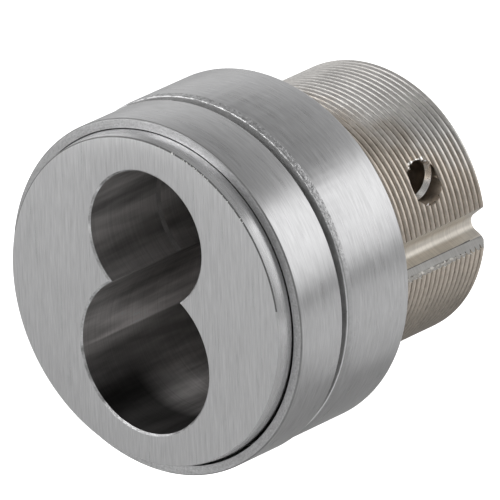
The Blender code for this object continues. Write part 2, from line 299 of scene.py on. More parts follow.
def lofted(sections):
    """Joins outlines of equal length and caps both ends."""
    bm = bmesh.new()
    loops = [[bm.verts.new(point) for point in section] for section in sections]
    for near, far in zip(loops, loops[1:]):
        for i, corner in enumerate(near):
            j = (i + 1) % len(near)
            bm.faces.new((corner, near[j], far[j], far[i]))
    bm.faces.new(loops[0])
    bm.faces.new(loops[-1])
    return bm


def arc(centre, radius, start, end, steps):
    angles = [start + (end - start) * i / steps for i in range(steps + 1)]
    return [
        (centre[0] + radius * math.cos(a), centre[1] + radius * math.sin(a)) for a in angles
    ]


def combine(target, other, operation):
    """One boolean step, applied at once; the other shape is used up."""
    step = target.modifiers.new("step", "BOOLEAN")
    step.operation = operation
    step.solver = "MANIFOLD"
    step.object = other
    depsgraph = bpy.context.evaluated_depsgraph_get()
    mesh = bpy.data.meshes.new_from_object(target.evaluated_get(depsgraph))
    target.modifiers.clear()
    target.data = mesh
    bpy.data.objects.remove(other, do_unlink=True)


# Material helpers

class Nodes:
    """Adds nodes to a tree and links them."""

    def __init__(self, tree):
        self.tree = tree

    def node(self, kind, **settings):
        node = self.tree.nodes.new(kind)
        for key, value in settings.items():
            setattr(node, key, value)
        return node

    def link(self, source, target):
        """Feeds a socket from another node's output, or sets it to a plain value."""
        if isinstance(source, (int, float, tuple)):
            target.default_value = source
        else:
            self.tree.links.new(source, target)

    def math(self, operation, a, b=None):
        node = self.node("ShaderNodeMath", operation=operation)
        self.link(a, node.inputs[0])
        if b is not None:
            self.link(b, node.inputs[1])
        return node.outputs[0]

    def times(self, a, b):
        return self.math("MULTIPLY", a, b)

    def combine(self, x, y, z):
        node = self.node("ShaderNodeCombineXYZ")
        for value, socket in zip((x, y, z), node.inputs):
            self.link(value, socket)
        return node.outputs[0]

    def split(self, vector):
        node = self.node("ShaderNodeSeparateXYZ")
        self.link(vector, node.inputs[0])
        return node.outputs[0], node.outputs[1], node.outputs[2]

    def stretched(self, parts, scales):
        """A vector of the three parts, each times its own scale."""
        return self.combine(*(self.times(part, scale) for part, scale in zip(parts, scales)))

    def noise(self, vector, scale, detail, rough):
        node = self.node("ShaderNodeTexNoise")
        self.link(vector, node.inputs["Vector"])
        node.inputs["Scale"].default_value = scale
        node.inputs["Detail"].default_value = detail
        node.inputs["Roughness"].default_value = rough
        return node.outputs["Fac"]

    def ramp(self, value, low, high, out_low, out_high, smooth=False):
        """A number that goes from out_low to out_high as the value goes from low to high."""
        node = self.node("ShaderNodeMapRange")
        if smooth:
            node.interpolation_type = "SMOOTHSTEP"
        for source, socket in zip((value, low, high, out_low, out_high), node.inputs):
            self.link(source, socket)
        return node.outputs[0]

    def spread(self, value, middle, amount, low=NOISE_LOW, high=NOISE_HIGH):
        """Noise turned into a number that strays from the middle by the amount, as a share."""
        return self.ramp(value, low, high, middle * (1 - amount), middle * (1 + amount))

    def blend(self, factor, a, b):
        """A number that goes from a to b as the factor goes from 0 to 1."""
        node = self.node("ShaderNodeMix", data_type="FLOAT")
        self.link(factor, node.inputs[0])
        self.link(a, node.inputs[2])
        self.link(b, node.inputs[3])
        return node.outputs[0]


class Metal(Nodes):
    """One Principled metal, built node by node."""

    def __init__(self, name):
        self.material = bpy.data.materials.new(name)
        self.material.use_nodes = True
        super().__init__(self.material.node_tree)
        self.principled = self.tree.nodes["Principled BSDF"]
        self.principled.inputs["Metallic"].default_value = 1.0

    def place(self):
        return self.node("ShaderNodeTexCoord").outputs["Object"]

    def around(self, centre_z=0.0):
        """Where a point is round the axis, lifted by centre_z: y, radius, cosine and sine."""
        x, y, z = self.split(self.place())
        z = self.math("SUBTRACT", z, centre_z)
        r = self.math("SQRT", self.math("ADD", self.times(x, x), self.times(z, z)))
        return y, r, self.math("DIVIDE", x, r), self.math("DIVIDE", z, r)

    def marks(self, parts, scales, rough=0.6):
        """Noise drawn out into marks by a different scale along each part."""
        return self.noise(self.stretched(parts, scales), 1.0, 3.0, rough)

    def stretch(self, amount, tangent):
        """Highlights stretched along the tangent, across the metal's marks."""
        self.principled.inputs["Anisotropic"].default_value = amount
        self.link(tangent, self.principled.inputs["Tangent"])

    def finish(self, colour, tone, roughness, height, depth):
        """Sets the colour, darkened or lightened by the tone, and the bump's height and depth."""
        scaled = self.node("ShaderNodeVectorMath", operation="SCALE")
        self.link(colour, scaled.inputs[0])
        self.link(tone, scaled.inputs["Scale"])
        bump = self.node("ShaderNodeBump")
        bump.inputs["Distance"].default_value = depth
        self.link(height, bump.inputs["Height"])
        self.link(scaled.outputs[0], self.principled.inputs["Base Color"])
        self.link(roughness, self.principled.inputs["Roughness"])
        self.link(bump.outputs[0], self.principled.inputs["Normal"])
        return self.material


def turned_metal(name, colour, roughness, marks, contrast, stretch=0.6, centre_z=0.0):
    """Metal brushed or turned round the axis: fine marks across, longer ones round."""
    metal = Metal(name)
    y, r, cos, sin = metal.around(centre_z)
    parts = (metal.math("ADD", y, r), cos, sin)
    fine = metal.marks(parts, (marks, 9, 9))
    coarse = metal.marks(parts, (0.3 * marks, 3.6, 3.6))
    both = metal.blend(0.35, fine, coarse)
    metal.stretch(stretch, metal.combine(cos, 2.3, sin))
    return metal.finish(
        colour, metal.spread(both, 1, contrast), metal.spread(coarse, roughness, 0.12), both, 4e-6,
    )


def speckled_front(name, colour, roughness, centre_z):
    """The compression ring's front face: turned, then blasted to a fine speckle."""
    metal = Metal(name)
    _, r, cos, sin = metal.around(centre_z)
    speckle = metal.noise(metal.place(), 4200, 2.0, 0.7)
    both = metal.blend(0.4, speckle, metal.marks((r, cos, sin), (5000, 22, 22)))
    metal.stretch(0.8, metal.combine(cos, -0.6, sin))
    tone = metal.spread(both, 1, 0.22, 0.35, 0.65)
    return metal.finish(colour, tone, metal.spread(speckle, roughness, 0.15), both, 12e-6)


def brushed_face(name, colour, roughness, contrast):
    """The head's flat face, brushed up and down along Z, slightly aslant."""
    metal = Metal(name)
    x, _, z = metal.split(metal.place())
    slanted = metal.math("ADD", x, metal.times(z, 0.05))
    fine, coarse = (
        metal.marks((slanted, z, 0.0), (across, along, 1.0))
        for across, along in ((7500, 420), (3100, 130))
    )
    both = metal.blend(0.45, fine, coarse)
    metal.stretch(0.5, metal.combine(1.0, 0.0, 0.0))
    return metal.finish(
        colour, metal.spread(both, 1, contrast), metal.spread(coarse, roughness, 0.1), both, 4e-6,
    )


def worn_metal(name, colour, roughness, scale=900, contrast=0.12, depth=6e-6):
    """Plain machined or plated metal with faint blotches, for small and hidden parts."""
    metal = Metal(name)
    place = metal.place()
    blotch = metal.noise(place, scale, 4.0, 0.6)
    grain = metal.noise(place, scale * 7, 2.0, 0.6)
    tone = metal.spread(blotch, 1, contrast)
    return metal.finish(colour, tone, metal.spread(grain, roughness, 0.15), grain, depth)


def thread_metal(name, colour, roughness):
    """The thread: dirt and painted shade at the roots, worn crests with fine scratches along them.
    Painted shade also darkens it low down, and tints it duller and warmer near the blocking ring
    and low down; further up and back it keeps its plain colour."""
    metal = Metal(name)
    place = metal.place()
    _, _, z = metal.split(place)
    y, r, cos, sin = metal.around()
    # Dirt and painted shade: the roots darken the deeper they lie
    root = metal.ramp(
        r, THREAD_R - 0.98 * THREAD_DEPTH, THREAD_R - 0.4 * THREAD_DEPTH, 0.14, 1.0, smooth=True,
    )
    # Painted shade: darker towards the bottom
    underside_shade = metal.ramp(z, -0.012, -0.002, 0.62, 1.0)
    blotch = metal.noise(place, 350, 3.0, 0.6)
    scratch = metal.marks((y, cos, sin), (9000, 25, 25), 0.65)
    grain = metal.noise(place, 5000, 3.0, 0.6)
    tone = metal.times(metal.times(root, underside_shade), metal.spread(blotch, 1, 0.1))
    tone = metal.times(tone, metal.spread(scratch, 1, 0.2))
    # Painted shade: near the blocking ring and low down the colour turns to the duller, warmer
    # tint
    ragged_z = metal.math("ADD", z, metal.times(blotch, 0.008))
    up_and_back = metal.math("ADD", metal.times(y, 0.6), ragged_z)
    unshaded = metal.ramp(up_and_back, 0.0272, 0.0325, 0.0, 1.0, smooth=True)
    shade_tinted_colour = metal.combine(*(
        metal.blend(unshaded, shaded, lit) for shaded, lit in zip(SHADE_TINT, colour)
    ))
    metal.stretch(0.55, metal.combine(0.0, 1.0, 0.0))
    height = metal.blend(0.5, scratch, grain)
    return metal.finish(shade_tinted_colour, tone, metal.spread(blotch, roughness, 0.15), height, 5e-6)


def bored_metal(name, colour, roughness, stretch, streaks=0.12, painted_highlight=0.0):
    """A cutter's wall: its fine rings across, stains and painted reflection streaks along. The
    last argument paints a bright highlight streak on the wall below the left cusp."""
    metal = Metal(name)
    x, y, z = parts = metal.split(metal.place())
    rings = metal.noise(metal.stretched(parts, (120, 5500, 120)), 1.0, 2.0, 0.6)
    # Stains, and painted reflection streaks, drawn out along the bore
    stains_and_reflections = metal.marks(parts, (500, 60, 500))
    tone = metal.times(metal.spread(rings, 1, 0.1), metal.spread(stains_and_reflections, 1, streaks, 0.35, 0.65))
    if painted_highlight > 0:
        # Painted shade and light: the bottom of the bore is darkened near the mouth and lightened
        # deeper in
        bottom = metal.ramp(z, -0.012, -0.008, 1.0, 0.0)
        painted_depth_tone = metal.ramp(y, 0.0005, 0.0066, 0.12, 1.4)
        tone = metal.times(tone, metal.blend(bottom, 1.0, painted_depth_tone))
        # Painted highlight: a bright streak on the left wall low in the bore, sharp at its lower
        # edge, fading upwards and towards the face
        highlight_band = metal.ramp(y, FACE_Y, 0.0, 0.35, 1.0)
        for value, low, high, out_low, out_high in (
            (x, -0.0005, 0.0, 1.0, 0.0), (z, STREAK_FROM_Z, STREAK_FROM_Z + 0.0002, 0.0, 1.0),
            (z, STREAK_FROM_Z + STREAK_FADE_Z, 0.0, 1.0, 0.0),
        ):
            highlight_band = metal.times(highlight_band, metal.ramp(value, low, high, out_low, out_high))
        tone = metal.times(tone, metal.blend(highlight_band, 1.0, 1.0 + painted_highlight))
    metal.stretch(stretch, metal.combine(0.0, 1.0, 0.0))
    return metal.finish(colour, tone, roughness, rings, 3e-6)


def rough_edge(name, colour):
    """The blocking ring's torn, uneven edge, calmer low down, with a painted highlight along the
    lip.
    """
    metal = Metal(name)
    place = metal.place()
    _, y, z = metal.split(place)
    torn = metal.ramp(z, TORN_FROM_Z, TORN_FROM_Z + TORN_RISE, 0.15, 1.0)
    lumps = metal.blend(torn, 0.5, metal.noise(place, 2600, 4.0, 0.7))
    # Painted highlight: the lip is painted up to nearly twice as bright
    lip_highlight = metal.ramp(y, block_low.y + 0.00004, block_low.y + 0.0002, 1.9, 1.0, smooth=True)
    tone = metal.times(metal.ramp(lumps, 0.35, 0.65, 0.55, 1.35), lip_highlight)
    return metal.finish(colour, tone, 0.35, lumps, 110e-6)


# Housing

def figure_eight(y, upper_r, lower_r):
    """The bore's outline at y: two arcs that meet in the cusps."""
    distance = UPPER_LOBE_Z - LOWER_LOBE_Z
    cusp_up = (distance**2 + lower_r**2 - upper_r**2) / (2 * distance)
    lower_angle = math.acos(cusp_up / lower_r)
    upper_angle = math.acos((distance - cusp_up) / upper_r)
    upper = arc(
        (0, UPPER_LOBE_Z), upper_r, upper_angle - QUARTER, 3 * QUARTER - upper_angle,
        UPPER_LOBE_STEPS,
    )
    lower = arc(
        (0, LOWER_LOBE_Z), lower_r, QUARTER + lower_angle, 5 * QUARTER - lower_angle,
        LOWER_LOBE_STEPS,
    )
    return [(x, y, z) for x, z in upper[:-1] + lower[:-1]]


def bore_shape():
    """The bore with its mouth's chamfer and the small ledge in the upper lobe."""
    ledge_y = FACE_Y + LEDGE_DEPTH
    mouth = (UPPER_LOBE_R + LOBE_CHAMFER, LOWER_LOBE_R + LOBE_CHAMFER)
    wide = (UPPER_LOBE_R, LOWER_LOBE_R)
    narrow = (UPPER_LOBE_R - LEDGE_IN, LOWER_LOBE_R)
    bm = lofted([
        figure_eight(FACE_Y - PAST, *mouth),
        figure_eight(FACE_Y, *mouth),
        figure_eight(FACE_Y + LOBE_CHAMFER, *wide),
        figure_eight(ledge_y, *wide),
        figure_eight(ledge_y + LEDGE_RAMP, *narrow),
        figure_eight(BODY_END_Y - REAR_WALL, *narrow),
    ])
    return add_piece("bore_shape", bm, [])


def throw_hole_shape():
    """The hole in the rear wall: a seat for the throw member's flange, then its hub's bore."""
    start = BODY_END_Y - REAR_WALL
    step = start + THROW_FLANGE + RUNNING_GAP
    outer = THROW_FLANGE_R + RUNNING_GAP
    inner = THROW_HUB_R + RUNNING_GAP
    profile = [
        (start - PAST, 0), (start - PAST, outer), (step, outer), (step, inner),
        (BODY_END_Y - THROW_HOLE_CHAMFER, inner),
        (BODY_END_Y + PAST, inner + PAST + THROW_HOLE_CHAMFER), (BODY_END_Y + PAST, 0),
    ]
    bm = revolved(profile, HOLE_STEPS, False, (0, THROW_Z))
    return add_piece("throw_hole_shape", bm, [])


def groove_section(y, break_r):
    """The groove's outline at y; break_r rounds the edge between the lower wall and the ramp."""
    floor = arc(
        (THREAD_R - GROOVE_DEPTH + GROOVE_FLOOR_R, GROOVE_RISE), GROOVE_FLOOR_R,
        QUARTER + GROOVE_UPPER_SLOPE, 3 * QUARTER - GROOVE_LOWER_SLOPE, GROOVE_FLOOR_STEPS,
    )
    top_x = THREAD_R + 2 * GROOVE_DEPTH
    top_z = floor[0][1] + (top_x - floor[0][0]) * math.tan(GROOVE_UPPER_SLOPE)
    edge_x = THREAD_R - GROOVE_RAMP_DEPTH
    edge_z = floor[-1][1] - (edge_x - floor[-1][0]) * math.tan(GROOVE_LOWER_SLOPE)
    tangent = break_r * math.tan((GROOVE_RAMP_SLOPE - GROOVE_LOWER_SLOPE) / 2)
    cos, sin = math.cos(GROOVE_LOWER_SLOPE), math.sin(GROOVE_LOWER_SLOPE)
    rounding = arc(
        (edge_x - tangent * cos - break_r * sin, edge_z + tangent * sin - break_r * cos), break_r,
        QUARTER - GROOVE_LOWER_SLOPE, QUARTER - GROOVE_RAMP_SLOPE, GROOVE_BREAK_STEPS,
    )
    exit_z = edge_z - (top_x - edge_x) * math.tan(GROOVE_RAMP_SLOPE)
    return [(x, y, z) for x, z in [(top_x, top_z)] + floor + rounding + [(top_x, exit_z)]]


def groove_shape(turn):
    """The groove; its lower edge is sharp along the body and worn round at the rear end."""
    sections = [groove_section(GROOVE_START_Y, GROOVE_BREAK_R)]
    for k in range(GROOVE_WORN_SECTIONS + 1):
        share = k / GROOVE_WORN_SECTIONS
        sections.append(groove_section(
            BODY_END_Y - GROOVE_WORN_LENGTH * (1 - share),
            GROOVE_BREAK_R + (GROOVE_WORN_R - GROOVE_BREAK_R) * share**2,
        ))
    sections.append(groove_section(BODY_END_Y + PAST, GROOVE_WORN_R))
    bm = lofted(sections)
    bmesh.ops.rotate(bm, verts=bm.verts, matrix=Matrix.Rotation(turn, 3, "Y"))
    return add_piece("groove_shape", bm, [])


def side_hole_shape():
    """A counterbore along X with a cone at its bottom and a pilot into the upper lobe."""
    profile = [
        (0, 0), (0, SIDE_HOLE_PILOT_R), (SIDE_HOLE_SEAT_X - SIDE_HOLE_CONE, SIDE_HOLE_PILOT_R),
        (SIDE_HOLE_SEAT_X, SIDE_HOLE_R), (THREAD_R + PAST, SIDE_HOLE_R), (THREAD_R + PAST, 0),
    ]
    bm = revolved(profile, HOLE_STEPS, False)
    bmesh.ops.rotate(bm, verts=bm.verts, matrix=Matrix.Rotation(-QUARTER, 3, "Z"))
    bmesh.ops.translate(bm, verts=bm.verts, vec=(0, SIDE_HOLE_Y, SIDE_HOLE_Z))
    return add_piece("side_hole_shape", bm, [])


def thread_shape():
    """The right-hand thread as one closed strip wound round the axis, longer than the body. Its
    rows are pairs: share of the pitch, depth below the crest as a share of the thread's depth."""
    crest = [THREAD_CREST * k / CREST_STEPS for k in range(CREST_STEPS + 1)]
    form = [(share, THREAD_CROWN * (2 * share / THREAD_CREST - 1) ** 2) for share in crest]
    form.append(((1 + THREAD_CREST) / 2, 1.0))
    start = -THREAD_BEFORE * THREAD_PITCH
    turns = int((BODY_END_Y - start) / THREAD_PITCH) + 2 * THREAD_BEFORE
    bm = bmesh.new()
    rows = []
    for j in range(turns * len(form) + 1):
        share, depth = form[j % len(form)]
        y = start + (j // len(form) + share) * THREAD_PITCH
        r = THREAD_R - depth * THREAD_DEPTH
        row = []
        for k in range(THREAD_STEPS + 1):
            a = TAU * k / THREAD_STEPS
            lead = THREAD_PITCH * k / THREAD_STEPS
            row.append(bm.verts.new((r * math.cos(a), y - lead, r * math.sin(a))))
        rows.append(row)
    for near, far in zip(rows, rows[1:]):
        for k in range(THREAD_STEPS):
            bm.faces.new((near[k], near[k + 1], far[k + 1], far[k]))
    bmesh.ops.remove_doubles(bm, verts=bm.verts, dist=1e-7)
    edges = [e for e in bm.edges if e.is_boundary]
    for end_y, beyond in ((start, -1), (start + turns * THREAD_PITCH, 1)):
        rim = [e for e in edges if abs(e.verts[0].co.y - end_y) < 2 * THREAD_PITCH]
        tip = bm.verts.new((0, end_y + 2 * beyond * THREAD_PITCH, 0))
        for e in rim:
            bm.faces.new((e.verts[0], e.verts[1], tip))
    return add_piece("thread_shape", bm, [])


(FACE, DARK_RIM_REFLECTION, HEAD_SIDE, THREAD, BORE, BORE_RIM, STEP, CUT, BREAK_SHADOW, RAMP, HOLE, LEDGE,
 REAR) = range(13)
DARK_RIM_FROM_Z = 0.0033
GROOVE_REACH_Z = 0.005
BREAK_Z = -0.00083
# Painted shadow: the width of the dark line along the groove's break, and where it stops
BREAK_SHADOW_WIDE = 0.00005
BREAK_SHADOW_END_Y = BODY_END_Y - 0.002


def housing_region(centre, normal):
    """Which finish a face of the housing has, from where it is and the way it faces."""
    r = math.hypot(centre.x, centre.z)
    if centre.y < FACE_Y + 1e-6:
        return FACE
    if centre.y < NEAR and r > HEAD_FACE_R - 2 * HEAD_EDGE:
        # Painted reflection: high up, the face's edge is painted dark, as a mirror of the dark
        # camera side
        on_dark_rim = centre.y < FACE_Y + HEAD_EDGE and centre.z > DARK_RIM_FROM_Z
        return DARK_RIM_REFLECTION if on_dark_rim else HEAD_SIDE
    inward = any(
        math.hypot(centre.x, centre.z - lobe_z) < lobe_r + LOBE_CHAMFER + NEAR
        for lobe_z, lobe_r in ((UPPER_LOBE_Z, UPPER_LOBE_R), (LOWER_LOBE_Z, LOWER_LOBE_R))
    )
    if inward and centre.y < BODY_END_Y - REAR_WALL + NEAR:
        if normal.y < -0.2:
            return STEP if centre.y > 0 else BORE_RIM
        return BORE
    if centre.y > BODY_END_Y - NEAR or inward:
        return REAR
    from_hole = math.hypot(centre.y - SIDE_HOLE_Y, centre.z - SIDE_HOLE_Z)
    if centre.x > 0 and from_hole < SIDE_HOLE_R + NEAR:
        on_cone = SIDE_HOLE_SEAT_X - SIDE_HOLE_CONE < centre.x < SIDE_HOLE_SEAT_X
        return LEDGE if on_cone and abs(normal.x) > 0.2 else HOLE
    if abs(centre.z) > GROOVE_REACH_Z or r > THREAD_R - NEAR:
        return THREAD
    side = 1 if centre.x > 0 else -1
    on_flank = side * normal.x > 0.9 or abs(normal.y) > 0.2
    if r > THREAD_R - THREAD_DEPTH - 2 * NEAR and on_flank:
        return THREAD
    across_groove = side * centre.z
    # Painted shadow: a thin dark line along the edge between the groove's lower wall and the ramp
    if abs(across_groove - BREAK_Z) < BREAK_SHADOW_WIDE and centre.y < BREAK_SHADOW_END_Y:
        return BREAK_SHADOW
    return RAMP if across_groove < BREAK_Z else CUT


def make_housing(finishes):
    chamfer_y = BODY_END_Y - END_CHAMFER - ENVELOPE_MARGIN
    envelope = add_piece("envelope", revolved([
        (-ENVELOPE_MARGIN, 0), (-ENVELOPE_MARGIN, THREAD_R + ENVELOPE_MARGIN),
        (chamfer_y, THREAD_R + ENVELOPE_MARGIN), (BODY_END_Y, THREAD_R - END_CHAMFER),
        (BODY_END_Y, 0),
    ], THREAD_STEPS, False), [])
    housing = thread_shape()
    housing.name = "housing_metal"
    combine(housing, envelope, "INTERSECT")
    head = add_piece("head_shape", revolved([
        (FACE_Y, 0), (FACE_Y, HEAD_FACE_R - HEAD_EDGE),
        (FACE_Y + 0.3 * HEAD_EDGE, HEAD_FACE_R - 0.3 * HEAD_EDGE),
        (FACE_Y + HEAD_EDGE, HEAD_FACE_R), (ring_low.y, HEAD_LIP_R),
        (ring_low.y + HEAD_LIP_STEP, HEAD_BACK_R), (-HEAD_EDGE, HEAD_BACK_R),
        (0, HEAD_BACK_R - HEAD_EDGE), (0, 0),
    ], HEAD_STEPS, False), [])
    combine(housing, head, "UNION")
    combine(housing, bore_shape(), "DIFFERENCE")
    combine(housing, throw_hole_shape(), "DIFFERENCE")
    combine(housing, groove_shape(0), "DIFFERENCE")
    combine(housing, groove_shape(math.pi), "DIFFERENCE")
    combine(housing, side_hole_shape(), "DIFFERENCE")
    mesh = housing.data
    mesh.materials.clear()
    for material in finishes:
        mesh.materials.append(material)
    for polygon in mesh.polygons:
        polygon.material_index = housing_region(polygon.center, polygon.normal)
    mesh.shade_smooth()
    mesh.set_sharp_from_angle(angle=math.radians(26))
    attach(housing, "housing")
    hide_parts("housing")


# Rings

RING_SIDE, RING_FRONT, RING_REAR, RING_RIM_REFLECTION = range(4)
BLOCK_SIDE, BLOCK_TORN, BLOCK_FRONT = range(3)


def finish_ring(ring, body, materials, zones):
    """Gives a ring its finishes; zones picks one from a face's centre and normal."""
    for material in materials[1:]:
        ring.data.materials.append(material)
    for polygon in ring.data.polygons:
        polygon.material_index = zones(polygon.center, polygon.normal)
    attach(ring, body)
    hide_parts(body)


def make_compression_ring(materials):
    """The front ring, a shallow cup with a web behind."""
    low, high = ring_low.y, ring_high.y
    opening = HEAD_LIP_R + RING_FIT
    profile = rounded([
        (low, opening, BORE_FILLET / 2), (low, RING_R, RING_EDGE), (high, RING_R, REAR_FILLET),
        (high, RING_BORE_R, BORE_FILLET), (high - RING_WEB, RING_BORE_R, BORE_FILLET),
        (high - RING_WEB, opening, REAR_FILLET),
    ])
    bm = revolved(profile, RING_STEPS, True, (0, RING_Z))
    ring = add_piece("compression_ring_metal", bm, [materials[0]])

    def zone(centre, normal):
        if centre.y < low + NEAR and normal.y < -0.95:
            return RING_FRONT
        if normal.y > 0.95 and centre.y > high - NEAR:
            return RING_REAR
        r = math.hypot(centre.x, centre.z - RING_Z)
        # Painted reflection: the front outer edge is painted dark, as a mirror of the dark camera
        # side
        return RING_RIM_REFLECTION if centre.y < low + RING_EDGE and r > RING_R - RING_CORNER else RING_SIDE

    finish_ring(ring, "compression_ring", materials, zone)


def make_blocking_ring(materials):
    """The spacer ring; its front edge is torn, so the lead-in's rows of points waver."""
    low, high = block_low.y, block_high.y
    lip = RING_R - LEAD_IN
    lead = [(low + back, lip + up, 0) for back, up in TORN_ROWS]
    lead += [
        (low + LEAD_LENGTH * k / LEAD_STEPS, lip + LEAD_IN * k / LEAD_STEPS, 0)
        for k in range(1, LEAD_STEPS + 1)
    ]
    profile = rounded([
        (low, RING_BORE_R, BORE_FILLET), (low, RING_R - 2 * LEAD_IN, 0), (low, lip - LIP_STEP, 0),
        *lead, (high, RING_R, REAR_FILLET), (high, RING_BORE_R, BORE_FILLET),
    ])
    bm = revolved(profile, 2 * RING_STEPS, True, (0, BLOCK_Z))
    for vert in bm.verts:
        r = math.hypot(vert.co.x, vert.co.z - BLOCK_Z)
        on_lead = low + 1e-6 < vert.co.y < low + 0.8 * LEAD_LENGTH
        if on_lead and r > RING_R - 1.5 * LEAD_IN:
            calm = min(1, max(TORN_CALM, (vert.co.z - TORN_FROM_Z) / TORN_RISE))
            torn = calm * (noise.noise(vert.co * 1400) + 0.6 * noise.noise(vert.co * 3600))
            vert.co.y += TORN_ALONG * torn
            factor = 1 + TORN_OUT * (torn - 0.2) / r
            vert.co.x *= factor
            vert.co.z = BLOCK_Z + (vert.co.z - BLOCK_Z) * factor
    ring = add_piece("blocking_ring_metal", bm, [materials[0]])

    def zone(centre, normal):
        if centre.y < low + NEAR:
            return BLOCK_FRONT
        r = math.hypot(centre.x, centre.z - BLOCK_Z)
        on_lead = centre.y < low + LEAD_LENGTH and r > RING_R - 1.5 * LEAD_IN
        return BLOCK_TORN if on_lead else BLOCK_SIDE

    finish_ring(ring, "blocking_ring", materials, zone)


# Burrs: rolled edges and small flakes that the cutters left

def burr_roll(bm, turn):
    """The lumpy roll of metal pushed over a groove's lower edge; turn picks the groove."""
    a = turn + ROLL_ANGLE
    middle = Vector((ROLL_R * math.cos(a), 0, ROLL_R * math.sin(a)))
    radial = Vector((math.cos(a), 0, math.sin(a)))
    across = Vector((-math.sin(a), 0, math.cos(a)))
    loops = []
    for j in range(ROLL_ROWS + 1):
        y = ROLL_START_Y + (ROLL_END_Y - ROLL_START_Y) * j / ROLL_ROWS
        fade = min(1, (ROLL_ROWS - j) / ROLL_FADE_ROWS)
        loop = []
        for k in range(ROLL_SIDES):
            b = TAU * k / ROLL_SIDES
            point = middle + Vector((0, y, 0))
            lump = 1 + 0.7 * noise.noise((point + 0.0003 * math.cos(b) * radial) * 3500)
            rim = ROLL_THICK * math.cos(b) * radial + ROLL_WIDE * math.sin(b) * across
            loop.append(bm.verts.new(point + lump * fade * rim))
        loops.append(loop)
    for near, far in zip(loops, loops[1:]):
        for k in range(ROLL_SIDES):
            beside = (k + 1) % ROLL_SIDES
            bm.faces.new((near[k], near[beside], far[beside], far[k]))
    bm.faces.new(loops[0])
    bm.faces.new(loops[-1])


def make_rolls(material):
    bm = bmesh.new()
    for turn in (0, math.pi):
        burr_roll(bm, turn)
    piece = add_piece("groove_burr_rolls", bm, [material], 60)
    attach(piece, "housing")


def flake(bm, base, along, out, width, reach, lean):
    """A thin pointed flake rooted just under the edge at base, reaching out from it."""
    side = along.cross(out)
    root = base - 0.2 * reach * out
    tip = base + reach * out + lean * reach * side + lean * 0.3 * width * along
    corners = [bm.verts.new(p) for p in (
        root - 0.5 * width * along, root + 0.5 * width * along, root - 0.35 * reach * side, tip,
    )]
    for i in range(4):
        bm.faces.new([c for k, c in enumerate(corners) if k != i])


def make_burrs(name, body, places, material):
    """One piece of flakes; each place is (base, along, out, size)."""
    sizes = random.Random(7)
    bm = bmesh.new()
    for base, along, out, size in places:
        width = size * sizes.uniform(0.7, 1.4)
        reach = size * sizes.uniform(0.5, 1.0)
        flake(bm, base, along, out, width, reach, sizes.uniform(-0.8, 0.8))
    piece = add_piece(name, bm, [material], 10)
    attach(piece, body)


def round_places(spots, r, y, centre_z, out_r, out_y, size):
    """Places on a circular edge at the given angles; out_r and out_y say where flakes point."""
    places = []
    for degrees in spots:
        a = math.radians(degrees)
        radial = Vector((math.cos(a), 0, math.sin(a)))
        along = Vector((-math.sin(a), 0, math.cos(a)))
        out = (out_r * radial + Vector((0, out_y, 0))).normalized()
        places.append((Vector((0, y, centre_z)) + r * radial, along, out, size))
    return places


def groove_places(angle, starts, size):
    """Places along a groove's edge at the given angle and distances behind the shoulder."""
    a = math.radians(angle)
    r = THREAD_R - 0.1 * THREAD_DEPTH
    along = Vector((0, 1, 0))
    out = Vector((math.cos(a + 0.4), 0, math.sin(a + 0.4)))
    return [(Vector((r * math.cos(a), y, r * math.sin(a))), along, out, size) for y in starts]


def hole_places(turns, size, inward):
    """Places round the side hole's rim; a turn of 0 is its rear side, 90 degrees its top."""
    places = []
    for degrees in turns:
        a = math.radians(degrees)
        rim = Vector((0, math.cos(a), math.sin(a)))
        y = SIDE_HOLE_Y + SIDE_HOLE_R * rim.y
        z = SIDE_HOLE_Z + SIDE_HOLE_R * rim.z
        x = math.sqrt(THREAD_R**2 - z**2) - 0.2 * THREAD_DEPTH
        along = Vector((0, -rim.z, rim.y))
        out = (-inward * rim + Vector((0.35, 0, 0))).normalized()
        places.append((Vector((x, y, z)), along, out, size))
    return places


def crest_turns(low, high):
    """Where the thread's crests meet the side hole's rim, between two turns round it."""
    turns = []
    lead = THREAD_PITCH * math.atan2(SIDE_HOLE_Z, THREAD_R) / TAU
    for n in range(int(BODY_END_Y / THREAD_PITCH) + 2 * THREAD_BEFORE):
        y = (n - THREAD_BEFORE + THREAD_CREST / 2) * THREAD_PITCH - lead
        share = (y - SIDE_HOLE_Y) / SIDE_HOLE_R
        if abs(share) < 0.97:
            turn = math.degrees(math.acos(share))
            turns += [t for t in (turn, 360 - turn) if low < t < high]
    return turns


def dress(node, material):
    """A CAD node whose shape is right keeps it and gets a finish."""
    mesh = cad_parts[node].data
    mesh.materials.clear()
    mesh.materials.append(material)


# Stage

def make_floor():
    """A pale floor that the camera sees as plain white."""
    bm = bmesh.new()
    bmesh.ops.create_grid(bm, x_segments=1, y_segments=1, size=3)
    bmesh.ops.translate(bm, verts=bm.verts, vec=(0, 0, FLOOR_Z))
    floor = add_piece("floor", bm, [])
    material = bpy.data.materials.new("floor")
    material.use_nodes = True
    nodes = Nodes(material.node_tree)
    principled = nodes.tree.nodes["Principled BSDF"]
    principled.inputs["Base Color"].default_value = (0.8, 0.8, 0.8, 1)
    principled.inputs["Roughness"].default_value = 0.9
    principled.inputs["Specular IOR Level"].default_value = 0.0
    glow = nodes.node("ShaderNodeEmission")
    glow.inputs["Color"].default_value = (1, 1, 1, 1)
    seen = nodes.node("ShaderNodeLightPath").outputs["Is Camera Ray"]
    nodes.link(seen, glow.inputs["Strength"])
    add = nodes.node("ShaderNodeAddShader")
    nodes.link(principled.outputs[0], add.inputs[0])
    nodes.link(glow.outputs[0], add.inputs[1])
    nodes.link(add.outputs[0], nodes.tree.nodes["Material Output"].inputs["Surface"])
    floor.data.materials.append(material)


